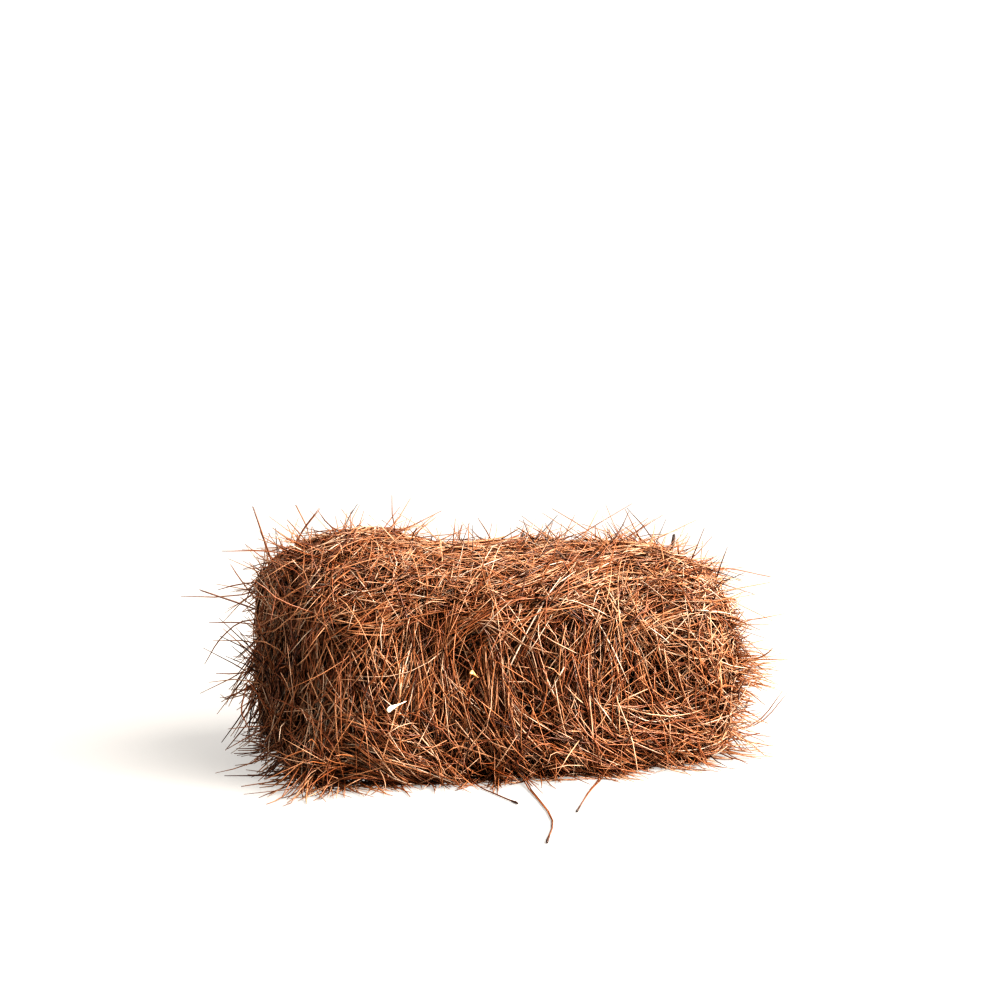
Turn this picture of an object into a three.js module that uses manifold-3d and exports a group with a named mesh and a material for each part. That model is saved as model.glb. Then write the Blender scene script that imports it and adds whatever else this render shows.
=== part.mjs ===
import * as THREE from 'three';
import { mergeVertices } from 'three/addons/utils/BufferGeometryUtils.js';
import Module from 'manifold-3d';

// A bale of pine straw: long dry pine needles pressed into a soft block, with locks of
// needles lying over its faces, cut ends bristling out, and a few fascicles (two or three
// needles held in one sheath) that have worked loose.
// Millimetres. +X runs along the bale, -Y is its front, +Z is up, and the origin is in the
// middle of the face that the bale rests on.

const wasm = await Module();
wasm.setup();

// Driving dimensions
const LENGTH = 596; // of the pressed block, without locks and loose tips
const DEPTH = 316;
const HEIGHT = 262;
const EDGE_RADIUS = 62; // upper edges and corners
const FOOT_RADIUS = 36; // lower edges, pressed flatter by the bale's own weight
const BLOCK_STEPS = [14, 8, 7]; // facets along X, Y and Z, closer together near the edges
const LUMP_RISE = 3; // small unevenness of the pressed faces
const LUMP_WAVES = [31, 47, 29, 37]; // its length along the faces, uneven so that it doesn't repeat
const LOCK_RADIUS = 13;
const LOCK_LENGTH = 185;
const LOCK_SIDES = 5;
const LOCK_STEPS = 5;
const LOCK_LIE = [[-0.5, -9], [-0.18, -5], [0.18, -4], [0.5, 3]]; // share of its length, height over the face
const LOCK_TURN = 14; // degrees that a lock may turn off its sweep
const LOCK_SCATTER = 0.25; // share by which a lock's length and place vary
const ROW_SCATTER = 0.2; // the same for its height on the face
const FLOOR_CLEAR = 2; // room under the locks and tufts
const TUFT_RADIUS = 7;
const TUFT_REACH = 20; // how far a tuft's tip stands out
const TUFT_ROOT = 16; // how deep it is rooted
const TUFT_BEND = 2; // how far it follows the face's outward direction first
const NEEDLE_RADIUS = 0.8;
const NEEDLE_TIP_RADIUS = 0.25;
const NEEDLE_SIDES = 3;
const NEEDLE_STEPS = 6;
const SHEATH_RADIUS = 1.4;
const SHEATH_LENGTH = 14;
const GAP = 0.3; // clearance round each piece that is caught in the straw

// Broad swells (+) and hollows (-) that pressing and handling left in the block
const SWELLS = [
  { at: [-165, 60, 262], reach: 105, rise: 24 }, // hump on the left of the top
  { at: [298, -60, 95], reach: 105, rise: 20 }, // right end bellies out low down
  { at: [298, 60, 262], reach: 95, rise: -8 }, // right of the top slopes away
  { at: [-298, -20, 245], reach: 70, rise: -8 }, // left shoulder
  { at: [-107, -158, 190], reach: 55, rise: -12 }, // pinched waist in the front
  { at: [40, -158, 90], reach: 110, rise: 7 }, // belly of the front
  { at: [-298, -60, 60], reach: 70, rise: 8 }, // left foot
  { at: [70, 158, 150], reach: 120, rise: 9 }, // belly of the back
  { at: [-190, 158, 110], reach: 60, rise: -9 }, // hollow in the back
];

// The way the needles lie on each face, as angles from its long side at places on the face
const SWEEPS = {
  front: [
    { at: [-270, 215], angle: 80 },
    { at: [-215, 250], angle: 32 },
    { at: [-190, 222], angle: 8 },
    { at: [-80, 140], angle: 92 },
    { at: [-20, 235], angle: 24 },
    { at: [-240, 130], angle: 62 },
    { at: [-205, 55], angle: -42 },
    { at: [45, 65], angle: -38 },
    { at: [90, 180], angle: 55 },
    { at: [185, 215], angle: -30 },
    { at: [225, 150], angle: 48 },
    { at: [225, 40], angle: -6 },
  ],
  back: [
    { at: [-200, 200], angle: 25 },
    { at: [-190, 70], angle: -50 },
    { at: [-10, 200], angle: -20 },
    { at: [0, 70], angle: 70 },
    { at: [190, 200], angle: 40 },
    { at: [200, 60], angle: -12 },
  ],
  top: [
    { at: [-220, 0], angle: 50 },
    { at: [-90, 40], angle: 15 },
    { at: [60, 0], angle: -8 },
    { at: [210, 20], angle: -28 },
  ],
  left: [
    { at: [-60, 190], angle: 75 },
    { at: [60, 80], angle: -60 },
  ],
  right: [
    { at: [-60, 190], angle: -35 },
    { at: [60, 80], angle: 20 },
  ],
};

// Each face's outward direction and the two directions along it
const FACES = {
  front: { out: [0, -1, 0], along: [1, 0, 0], up: [0, 0, 1], locks: [6, 3] },
  back: { out: [0, 1, 0], along: [-1, 0, 0], up: [0, 0, 1], locks: [5, 3] },
  top: { out: [0, 0, 1], along: [1, 0, 0], up: [0, 1, 0], locks: [5, 2] },
  left: { out: [-1, 0, 0], along: [0, -1, 0], up: [0, 0, 1], locks: [2, 2] },
  right: { out: [1, 0, 0], along: [0, 1, 0], up: [0, 0, 1], locks: [2, 2] },
};

// Tufts of cut ends that bristle out: face, place on the face, and lean along it
const TUFTS = [
  { face: 'left', at: [-90, 225], lean: [0.3, 0.9] },
  { face: 'left', at: [20, 190], lean: [-0.5, 0.4] },
  { face: 'left', at: [110, 205], lean: [0.2, 0.7] },
  { face: 'left', at: [-70, 120], lean: [0.4, -0.4] },
  { face: 'left', at: [60, 110], lean: [-0.3, -0.5] },
  { face: 'left', at: [-20, 45], lean: [0.5, -0.3] },
  { face: 'right', at: [-110, 190], lean: [-0.3, 0.4] },
  { face: 'right', at: [-40, 210], lean: [0.2, 0.5] },
  { face: 'right', at: [60, 190], lean: [0.4, 0.3] },
  { face: 'right', at: [-120, 120], lean: [-0.5, 0.2] },
  { face: 'right', at: [0, 130], lean: [0.3, -0.2] },
  { face: 'right', at: [100, 110], lean: [0.4, 0.2] },
  { face: 'right', at: [-70, 60], lean: [-0.3, -0.3] },
  { face: 'right', at: [50, 45], lean: [0.3, -0.2] },
  { face: 'top', at: [-240, -60], lean: [-0.7, -0.2] },
  { face: 'top', at: [-200, 110], lean: [-0.4, 0.5] },
  { face: 'top', at: [-60, 125], lean: [0.6, 0.3] },
  { face: 'top', at: [90, 120], lean: [-0.6, 0.3] },
  { face: 'top', at: [190, -70], lean: [0.7, -0.2] },
  { face: 'front', at: [-230, 30], lean: [-0.6, -0.5] },
  { face: 'front', at: [-120, 24], lean: [0.5, -0.5] },
  { face: 'front', at: [100, 26], lean: [0.6, -0.5] },
  { face: 'front', at: [250, 80], lean: [0.8, 0.1] },
  { face: 'back', at: [-150, 60], lean: [0.5, -0.4] },
  { face: 'back', at: [160, 110], lean: [-0.6, 0.3] },
];

// Loose fascicles, each from the end that is caught in the straw to the free end
const FASCICLES = {
  loose_left_top: { needles: 2, splay: 9, route: [[-254, 58, 196], [-286, 58, 250], [-318, 58, 345]] },
  loose_left_crown: { needles: 1, splay: 0, route: [[-215, 10, 262], [-298, 2, 289], [-370, 0, 294]] },
  loose_left_high: { needles: 2, splay: 10, route: [[-255, 0, 180], [-325, 0, 213], [-400, 0, 243]] },
  loose_left_mid: { needles: 1, splay: 0, route: [[-262, -25, 176], [-340, -25, 199], [-392, -25, 203]] },
  loose_left_low: {
    needles: 1, splay: 0, route: [[-262, 28, 176], [-330, 28, 194], [-368, 28, 172], [-392, 28, 136]],
  },
  loose_top_left: { needles: 2, splay: 8, route: [[-275, 100, 205], [-250, 100, 288], [-217, 100, 334]] },
  loose_top_middle: { needles: 1, splay: 0, route: [[52, 100, 230], [31, 100, 283], [13, 100, 312]] },
  loose_right_high: { needles: 2, splay: 6, route: [[245, -80, 226], [310, -80, 252], [390, -80, 237]] },
  loose_right_curl: {
    needles: 2, splay: 18, route: [[255, -80, 34], [328, -80, 21], [378, -80, 30], [416, -80, 70]],
  },
  loose_right_low: { needles: 1, splay: 0, route: [[245, -110, 44], [320, -110, 26], [383, -112, 14]] },
  loose_foot_left: { needles: 3, splay: 70, route: [[-240, -90, 22], [-292, -96, 4], [-366, -112, 1.2]] },
  loose_floor_front: {
    needles: 2, splay: 7, sheathAtTip: true,
    route: [[8, -130, 18], [-8, -205, 3], [-23, -361, 1.6], [-60, -458, 1.6]],
  },
  loose_floor_side: {
    needles: 2, splay: 9, sheathAtTip: true,
    route: [[128, -126, 18], [104, -190, 3], [60, -262, 1.6], [15, -345, 1.6]],
  },
  loose_floor_short: {
    needles: 1, splay: 0, sheathAtTip: true,
    route: [[-84, -128, 18], [-72, -195, 3], [-60, -240, 1.6], [-45, -291, 1.6]],
  },
};

// Twig stubs caught in the top, from the buried end to the broken end
const TWIGS = {
  twig_stub: { radius: 3, from: [267, 17, 200], to: [281, 20, 287] },
  twig_stub_small: { radius: 2.6, from: [74, 98, 240], to: [79, 104, 284] },
};
const TWIG_SIDES = 7;
const TWIG_TAPER = 0.8;

// Flat scraps caught in the front: a pale wedge of wood and a flake of bark
const SCRAPS = {
  wood_chip: {
    at: [-173, 110], outline: [[-11, -3.5], [10, -5.5], [11, 1], [-11, 3.5]], thickness: 4, turn: 18,
  },
  bark_flake: {
    at: [-68, 144], outline: [[-6, -4], [5, -5], [7, 1], [2, 5], [-5, 3]], thickness: 3, turn: -12,
  },
};
const SCRAP_PROUD = 5; // how far a scrap's face stands in front of the pressed block
const CORNER_SPARE = 2; // a scrap's corners need more clearance than its sides

const COLOURS = {
  straw: { color: '#96552d', roughness: 0.55 },
  sheath: { color: '#7a4a2a', roughness: 0.5 },
  twig: { color: '#3c2a1e', roughness: 0.85 },
  wood: { color: '#e9dcc4', roughness: 0.7 },
  bark: { color: '#c9a56a', roughness: 0.75 },
};

const HALF = [LENGTH / 2, DEPTH / 2, HEIGHT / 2];
const vector = (values) => new THREE.Vector3(...values);
const radians = THREE.MathUtils.degToRad;

// Repeatable scatter between -1 and 1
let seed = 7;
function scatter() {
  seed = (seed * 16807) % 2147483647;
  return (seed / 2147483647) * 2 - 1;
}

// Closed solid from a geometry, with shared vertices merged and collapsed triangles dropped
function solid(geometry) {
  const bare = geometry.clone();
  bare.deleteAttribute('normal');
  bare.deleteAttribute('uv');
  const merged = mergeVertices(bare, 1e-4);
  const corners = merged.index.array;
  const triangles = [];
  for (let i = 0; i < corners.length; i += 3) {
    const [a, b, c] = corners.slice(i, i + 3);
    if (a !== b && b !== c && c !== a) triangles.push(a, b, c);
  }
  const vertProperties = new Float32Array(merged.attributes.position.array);
  const triVerts = new Uint32Array(triangles);
  return new wasm.Manifold(new wasm.Mesh({ numProp: 3, vertProperties, triVerts }));
}

// Geometry from a joined or cut solid
function geometryOf(joined) {
  const { vertProperties, triVerts } = joined.getMesh();
  const geometry = new THREE.BufferGeometry();
  geometry.setAttribute('position', new THREE.BufferAttribute(vertProperties, 3));
  geometry.setIndex(new THREE.BufferAttribute(triVerts, 1));
  geometry.computeVertexNormals();
  return geometry;
}

// How far the pressed face stands out (+) or in (-) at a point of the plain rounded block
function lift(point) {
  const [a, b, c, d] = LUMP_WAVES;
  const lumps = Math.sin(point.x / a + point.z / b) * Math.cos(point.z / c - point.y / d);
  let rise = LUMP_RISE * lumps;
  for (const swell of SWELLS) {
    const away = point.distanceTo(vector(swell.at)) / swell.reach;
    rise += swell.rise * Math.exp(-away * away);
  }
  return rise;
}

// Point and outward direction of the pressed block for a point of its plain box
function pressed(box) {
  const high = THREE.MathUtils.smoothstep(box.z / HALF[2], -1, 0.3);
  const radius = THREE.MathUtils.lerp(FOOT_RADIUS, EDGE_RADIUS, high);
  const core = vector(HALF).subScalar(radius);
  const inner = box.clone().clamp(core.clone().negate(), core);
  const out = box.clone().sub(inner).normalize();
  const point = inner.addScaledVector(out, radius);
  point.z += HALF[2];
  point.addScaledVector(out, lift(point) * Math.min(1, 1 + out.z));
  return { point, out };
}

// Moves a box point towards the nearest edges, where the block curves and needs more facets
function crowdToEdges(box) {
  const share = box.clone().divide(vector(HALF));
  const crowded = share.toArray().map((value) => (value + Math.sin((value * Math.PI) / 2)) / 2);
  return vector(crowded).multiply(vector(HALF));
}

// The box point at a place on a face, folded round the edge where the place runs past it
function onBox(face, along, up) {
  const centred = face.up[2] ? up - HALF[2] : up;
  const flat = vector(face.along).multiplyScalar(along).addScaledVector(vector(face.up), centred);
  const box = vector(face.out).multiply(vector(HALF)).add(flat);
  const over = Math.max(0, ...[0, 1, 2].map((axis) => Math.abs(box.getComponent(axis)) - HALF[axis]));
  box.clamp(vector(HALF).negate(), vector(HALF));
  return box.addScaledVector(vector(face.out), -over);
}

// Tapering body along a curve: a lathed spindle whose rows are moved onto the curve
function spindle(points, radii, sides) {
  const rows = radii.length - 1;
  const profile = radii.map((radius, row) => new THREE.Vector2(radius, row / rows));
  const geometry = new THREE.LatheGeometry(profile, sides);
  const curve = new THREE.CatmullRomCurve3(points.map(vector));
  const frames = curve.computeFrenetFrames(rows);
  const position = geometry.attributes.position;
  for (let i = 0; i < position.count; i += 1) {
    const row = Math.round(position.getY(i) * rows);
    const centre = curve.getPointAt(row / rows);
    centre.addScaledVector(frames.normals[row], position.getX(i));
    centre.addScaledVector(frames.binormals[row], -position.getZ(i));
    position.setXYZ(i, centre.x, centre.y, centre.z);
  }
  return solid(geometry);
}

// Direction in which needles lie at a place on a face: that of the nearest sweep
function sweepAngle(sweeps, along, up) {
  const far = (sweep) => Math.hypot(sweep.at[0] - along, sweep.at[1] - up);
  return sweeps.reduce((a, b) => (far(b) < far(a) ? b : a)).angle;
}

// A lock: a flat bundle of needles lying along a face, its ends sunk and its tip lifted
function lock(name, along, up) {
  const face = FACES[name];
  const angle = radians(sweepAngle(SWEEPS[name], along, up) + LOCK_TURN * scatter());
  const length = LOCK_LENGTH * (1 + LOCK_SCATTER * scatter());
  const points = LOCK_LIE.map(([share, rise]) => {
    const step = share * length;
    const place = [along + step * Math.cos(angle), up + step * Math.sin(angle)];
    const { point, out } = pressed(onBox(face, ...place));
    return point.addScaledVector(out, rise).toArray();
  });
  const radii = [];
  for (let row = 0; row <= LOCK_STEPS; row += 1) {
    radii.push(LOCK_RADIUS * Math.max(0, Math.sin((Math.PI * row) / LOCK_STEPS)) ** 0.6);
  }
  radii[LOCK_STEPS] = 0;
  return spindle(points.map(keepOffFloor), radii, LOCK_SIDES);
}

// Points of a lock or tuft stay clear of the face that the bale rests on
function keepOffFloor([x, y, z]) {
  return [x, y, Math.max(z, LOCK_RADIUS + FLOOR_CLEAR)];
}

// A tuft of cut ends: rooted in a face and tapering to a point outside it
function tuft({ face: name, at, lean }) {
  const face = FACES[name];
  const { point, out } = pressed(onBox(face, at[0], at[1]));
  const way = out.clone();
  way.addScaledVector(vector(face.along), lean[0]).addScaledVector(vector(face.up), lean[1]);
  const root = point.clone().addScaledVector(way, -TUFT_ROOT).toArray();
  const tip = point.clone().addScaledVector(way, TUFT_REACH).toArray();
  const middle = point.clone().addScaledVector(out, TUFT_BEND).toArray();
  const radii = [0, TUFT_RADIUS, TUFT_RADIUS * 0.7, 0];
  return spindle([root, middle, tip].map(keepOffFloor), radii, LOCK_SIDES);
}

// The pressed block with its locks and tufts grown on
function strawBlock() {
  const box = new THREE.BoxGeometry(LENGTH, DEPTH, HEIGHT, ...BLOCK_STEPS);
  const position = box.attributes.position;
  for (let i = 0; i < position.count; i += 1) {
    const corner = new THREE.Vector3().fromBufferAttribute(position, i);
    const { point } = pressed(crowdToEdges(corner));
    position.setXYZ(i, point.x, point.y, point.z);
  }
  let block = solid(box);
  for (const [name, face] of Object.entries(FACES)) {
    const [columns, rows] = face.locks;
    const wide = 2 * Math.abs(vector(face.along).dot(vector(HALF)));
    const tall = 2 * Math.abs(vector(face.up).dot(vector(HALF)));
    for (let column = 0; column < columns; column += 1) {
      for (let row = 0; row < rows; row += 1) {
        const along = wide * ((column + 0.5 + LOCK_SCATTER * scatter()) / columns - 0.5);
        const share = (row + 0.5 + ROW_SCATTER * scatter()) / rows;
        block = block.add(lock(name, along, face.up[2] ? tall * share : tall * (share - 0.5)));
      }
    }
  }
  for (const each of TUFTS) block = block.add(tuft(each));
  return block;
}

// A fascicle: needles that part from one sheath; spare widens it into the pocket it lies in
function fascicle({ needles, splay, route, sheathAtTip = false }, spare = 0) {
  const ordered = sheathAtTip ? [...route].reverse() : route;
  const joined = vector(ordered[0]);
  const far = vector(ordered[ordered.length - 1]);
  const heading = far.clone().sub(joined).normalize();
  const side = new THREE.Vector3(0, 0, 1).cross(heading).normalize();
  const radii = new Array(NEEDLE_STEPS + 1).fill(NEEDLE_RADIUS + spare);
  radii[0] = 0;
  radii[NEEDLE_STEPS] = spare ? NEEDLE_RADIUS + spare : NEEDLE_TIP_RADIUS;
  radii.push(0);
  const next = vector(ordered[1]).sub(joined).normalize();
  const sheathEnd = joined.clone().addScaledVector(next, SHEATH_LENGTH).toArray();
  const sheathRadius = SHEATH_RADIUS + spare;
  const sheathRow = [0, sheathRadius * 0.8, sheathRadius, sheathRadius * 0.7, 0];
  let whole = spindle([ordered[0], sheathEnd], sheathRow, LOCK_SIDES);
  for (let needle = 0; needle < needles; needle += 1) {
    const offset = splay * (needle - (needles - 1) / 2);
    const parted = ordered.map((place, index) => {
      const share = index / (ordered.length - 1);
      return vector(place).addScaledVector(side, offset * share ** 1.5).toArray();
    });
    const points = [ordered[0], sheathEnd, ...parted.slice(1)];
    whole = whole.add(spindle(points, radii, NEEDLE_SIDES));
  }
  return whole;
}

// A broken twig, slightly tapered
function twig({ radius, from, to }, spare = 0) {
  const length = vector(to).distanceTo(vector(from)) + 2 * spare;
  const top = radius * TWIG_TAPER + spare;
  const geometry = new THREE.CylinderGeometry(top, radius + spare, length, TWIG_SIDES);
  const way = vector(to).sub(vector(from)).normalize();
  geometry.applyQuaternion(new THREE.Quaternion().setFromUnitVectors(new THREE.Vector3(0, 1, 0), way));
  geometry.translate(...vector(from).add(vector(to)).multiplyScalar(0.5).toArray());
  return solid(geometry);
}

// A flat scrap standing in the front face
function scrap({ at, outline, thickness, turn }, spare = 0) {
  const middle = new THREE.Vector2();
  const shape = new THREE.Shape(outline.map(([x, y]) => {
    const corner = new THREE.Vector2(x, y);
    return corner.addScaledVector(corner.clone().sub(middle).normalize(), spare * CORNER_SPARE);
  }));
  const geometry = new THREE.ExtrudeGeometry(shape, { depth: thickness + 2 * spare, bevelEnabled: false });
  geometry.translate(0, 0, -spare);
  geometry.rotateZ(radians(turn));
  geometry.rotateX(Math.PI / 2);
  const { point } = pressed(onBox(FACES.front, at[0], at[1]));
  geometry.translate(point.x, point.y - SCRAP_PROUD + thickness, point.z);
  return solid(geometry);
}

const bale = new THREE.Group();

function piece(name, joined, finish) {
  const material = new THREE.MeshStandardMaterial({ ...finish, metalness: 0 });
  const mesh = new THREE.Mesh(geometryOf(joined), material);
  mesh.name = name;
  bale.add(mesh);
}

let block = strawBlock();
for (const [name, each] of Object.entries(FASCICLES)) {
  block = block.subtract(fascicle(each, GAP));
  piece(name, fascicle(each), COLOURS.sheath);
}
for (const [name, each] of Object.entries(TWIGS)) {
  block = block.subtract(twig(each, GAP));
  piece(name, twig(each), COLOURS.twig);
}
for (const [name, each] of Object.entries(SCRAPS)) {
  block = block.subtract(scrap(each, GAP));
  piece(name, scrap(each), name === 'wood_chip' ? COLOURS.wood : COLOURS.bark);
}
piece('straw_block', block, COLOURS.straw);

export default bale;
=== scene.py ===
# %% [markdown]
# # A bale of pine straw
# A pine straw bale is a soft brown block of dry pine needles, pressed together and left a little ragged.
# The lesson loads the plain solids of the bale first, because they fix its size and place in metres.
# Every piece made later lies on those solids, so nothing has to be fitted afterwards.

# %% Load the frame
import math
import bpy
import numpy as np
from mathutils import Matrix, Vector
from mathutils.bvhtree import BVHTree


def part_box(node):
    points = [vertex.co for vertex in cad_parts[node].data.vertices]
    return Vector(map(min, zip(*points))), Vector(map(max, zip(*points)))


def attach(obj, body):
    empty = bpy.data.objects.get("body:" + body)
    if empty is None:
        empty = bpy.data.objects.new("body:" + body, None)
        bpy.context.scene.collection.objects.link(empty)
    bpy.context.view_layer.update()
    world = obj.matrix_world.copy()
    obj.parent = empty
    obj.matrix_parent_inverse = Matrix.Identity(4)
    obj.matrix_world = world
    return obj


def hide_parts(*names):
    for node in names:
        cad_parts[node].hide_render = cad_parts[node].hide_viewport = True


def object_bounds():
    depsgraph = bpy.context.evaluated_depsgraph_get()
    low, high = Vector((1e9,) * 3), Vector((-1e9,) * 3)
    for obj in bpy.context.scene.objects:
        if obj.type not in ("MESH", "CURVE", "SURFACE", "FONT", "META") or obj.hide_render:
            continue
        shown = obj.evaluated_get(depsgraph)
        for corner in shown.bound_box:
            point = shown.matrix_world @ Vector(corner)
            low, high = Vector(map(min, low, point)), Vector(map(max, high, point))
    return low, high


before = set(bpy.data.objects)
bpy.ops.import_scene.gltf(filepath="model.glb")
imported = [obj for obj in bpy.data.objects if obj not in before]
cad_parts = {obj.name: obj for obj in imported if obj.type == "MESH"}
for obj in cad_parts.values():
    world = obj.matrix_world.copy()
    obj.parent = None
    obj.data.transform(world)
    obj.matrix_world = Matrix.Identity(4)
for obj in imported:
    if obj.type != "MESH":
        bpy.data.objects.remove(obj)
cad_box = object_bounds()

print("solids:", sorted(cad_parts))

# %% [markdown]
# ## The camera
# The photograph looks slightly down on the bale from its left, so strips of the left end and the top show.
# A camera can be aimed with a constraint, but plain angles are easier to read and to correct.
# A longish lens keeps the block's edges nearly parallel, as they are in the photograph.

# %% Camera
CAMERA_SIDE = math.radians(-16)  # round the bale, towards its left end
CAMERA_AWAY = 2.67
CAMERA_HEIGHT = 0.681
CAMERA_DOWN = math.radians(7.07)
CAMERA_TURN = math.radians(0.35)  # sets the bale a little left of the middle

camera_data = bpy.data.cameras.new("camera")
camera_data.lens = 70
camera = bpy.data.objects.new("camera", camera_data)
bpy.context.scene.collection.objects.link(camera)
bpy.context.scene.camera = camera
camera.location = (math.sin(CAMERA_SIDE) * CAMERA_AWAY, -math.cos(CAMERA_SIDE) * CAMERA_AWAY, CAMERA_HEIGHT)
camera.rotation_euler = (math.pi / 2 - CAMERA_DOWN, 0, CAMERA_SIDE - CAMERA_TURN)
print("camera at", [round(v, 3) for v in camera.location])

# %% [markdown]
# ## Reading the block's surface
# Each needle has to know how deep in the straw it lies and which way is out.
# Blender can find the nearest point of a mesh, but one question at a time, which is slow for many points.
# So the question is asked once for each point of a coarse grid, and the answers in between are mixed.

# %% Distance grid round the block
GRID_STEP = 0.010
GRID_MARGIN = 0.06
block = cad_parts["straw_block"].data
corners = [vertex.co.copy() for vertex in block.vertices]
faces = [list(polygon.vertices) for polygon in block.polygons]
tree = BVHTree.FromPolygons(corners, faces)
block_low, block_high = (np.array(corner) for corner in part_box("straw_block"))
grid_low = block_low - GRID_MARGIN
grid_count = np.ceil((block_high + GRID_MARGIN - grid_low) / GRID_STEP).astype(int) + 1
axes = [grid_low[i] + GRID_STEP * np.arange(grid_count[i]) for i in range(3)]
depths = np.empty(grid_count)
for place in np.ndindex(*grid_count):
    point = Vector((axes[0][place[0]], axes[1][place[1]], axes[2][place[2]]))
    nearest, normal, _, away = tree.find_nearest(point)
    depths[place] = away if (point - nearest).dot(normal) > 0 else -away

for axis in (0, 1, 2):  # a light blur rounds off the facets
    ahead = np.roll(depths, -1, axis)
    behind = np.roll(depths, 1, axis)
    depths = (ahead + 2 * depths + behind) / 4
slopes = np.stack(np.gradient(depths, GRID_STEP), -1)
surface_grid = np.concatenate([depths[..., None], slopes], -1)
print("grid points:", depths.size)


def surface(points):
    """Signed distance from the block's surface at each point, and the outward direction there."""
    at = (points - grid_low) / GRID_STEP
    base = np.clip(np.floor(at).astype(int), 0, grid_count - 2)
    part = np.clip(at - base, 0, 1)
    mixed = np.zeros(points.shape[:-1] + (4,))
    for corner in np.ndindex(2, 2, 2):
        weight = np.prod(np.where(corner, part, 1 - part), axis=-1)
        cell = base + corner
        mixed += weight[..., None] * surface_grid[cell[..., 0], cell[..., 1], cell[..., 2]]
    return mixed[..., 0], unit(mixed[..., 1:])


def unit(vectors):
    """Vectors at length one."""
    return vectors / np.maximum(np.linalg.norm(vectors, axis=-1, keepdims=True), 1e-9)


# %% [markdown]
# ## The way the needles lie
# Pressing lays the needles in sweeps: steep at the left corner, rising to the right under the top edge,
# hanging in the middle of the front and falling to the right along its foot.
# A painted direction map would be an image, so a short list of places and angles is kept for each face.
# Between the places the angles are mixed by distance, doubled first, since a needle has no front or back.

# %% Sweeps
FACES = {  # out, along, up
    "front": ((0, -1, 0), (1, 0, 0), (0, 0, 1)),
    "back": ((0, 1, 0), (-1, 0, 0), (0, 0, 1)),
    "top": ((0, 0, 1), (1, 0, 0), (0, 1, 0)),
    "under": ((0, 0, -1), (1, 0, 0), (0, -1, 0)),
    "left": ((-1, 0, 0), (0, -1, 0), (0, 0, 1)),
    "right": ((1, 0, 0), (0, 1, 0), (0, 0, 1)),
}
SWEEPS = {  # along the face, up the face, angle in degrees
    "front": [
        (-0.290, 0.200, 80), (-0.255, 0.250, 30), (-0.215, 0.225, 24), (-0.175, 0.215, 52),
        (-0.130, 0.220, 66), (-0.050, 0.245, 20), (0.020, 0.235, 26), (0.080, 0.255, 10),
        (0.110, 0.215, 72), (0.160, 0.235, 35), (0.230, 0.230, 12), (-0.265, 0.140, 80),
        (-0.200, 0.150, -80), (-0.135, 0.140, 76), (-0.095, 0.130, -88), (-0.055, 0.130, -76),
        (0.000, 0.140, -88), (0.060, 0.130, 86), (0.120, 0.135, 62), (0.195, 0.135, -65),
        (0.240, 0.105, -42), (-0.285, 0.080, 70), (-0.250, 0.060, -55), (-0.195, 0.045, -33),
        (-0.090, 0.055, -75), (-0.030, 0.055, -62), (0.050, 0.055, -42), (0.120, 0.050, -42),
        (0.190, 0.045, -20), (0.260, 0.040, -8), (0.000, 0.008, -8), (-0.200, 0.008, -14),
    ],
    "back": [
        (-0.220, 0.210, 25), (-0.190, 0.070, -50), (-0.060, 0.190, -20), (0.000, 0.080, 72),
        (0.110, 0.210, 15), (0.190, 0.190, 48), (0.200, 0.060, -14), (0.060, 0.010, 5),
    ],
    "top": [
        (-0.250, -0.040, 62), (-0.170, 0.040, 32), (-0.090, -0.060, 48), (-0.010, 0.030, 12),
        (0.090, -0.050, 16), (0.150, 0.060, 4), (0.240, 0.000, 14),
    ],
    "under": [(-0.150, 0.000, 20), (0.150, 0.000, -15)],
    "left": [(-0.080, 0.190, 82), (0.080, 0.150, 78), (0.000, 0.060, 60)],
    "right": [(-0.080, 0.190, -35), (0.060, 0.080, 20), (-0.050, 0.050, -12)],
}


SWEEP_REACH = 0.02  # how far a listed place rules alone


def sweep_heading(points, out, rng, spread):
    """Direction along the surface at each point, from the sweeps of the face that it looks out of."""
    names = list(FACES)
    facing = np.stack([out @ np.array(FACES[name][0], float) for name in names], -1)
    nearest_face = facing.argmax(-1)
    heading = np.zeros_like(points)
    for number, name in enumerate(names):
        here = nearest_face == number
        along, up = np.array(FACES[name][1:], float)
        places = np.array(SWEEPS[name])
        gap = (points[here] @ along)[:, None] - places[:, 0]
        rise = (points[here] @ up)[:, None] - places[:, 1]
        weight = 1 / (gap**2 + rise**2 + SWEEP_REACH**2) ** 1.5
        doubled = np.radians(places[:, 2]) * 2
        angle = 0.5 * np.arctan2(weight @ np.sin(doubled), weight @ np.cos(doubled))
        angle = angle + rng.normal(0, spread, angle.shape) + math.pi * rng.integers(0, 2, angle.shape)
        heading[here] = np.cos(angle)[:, None] * along + np.sin(angle)[:, None] * up
    heading -= out * (heading * out).sum(-1, keepdims=True)
    return unit(heading)


print("sweeps on the front:", len(SWEEPS["front"]))

# %% [markdown]
# ## Laying needles on the bale
# A pine needle is a stiff, slightly bent rod. Hair curves would be quick, but they are lost when a model is
# exported, so every needle is a real mesh.
# Its route is walked both ways from a point near its middle: one step along, a slight turn, then back towards
# the depth it lies at. Its ends dive under their neighbours, which is what weaves the straw together.
# All needles take their steps together as arrays, which keeps tens of thousands of them quick.

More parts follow.
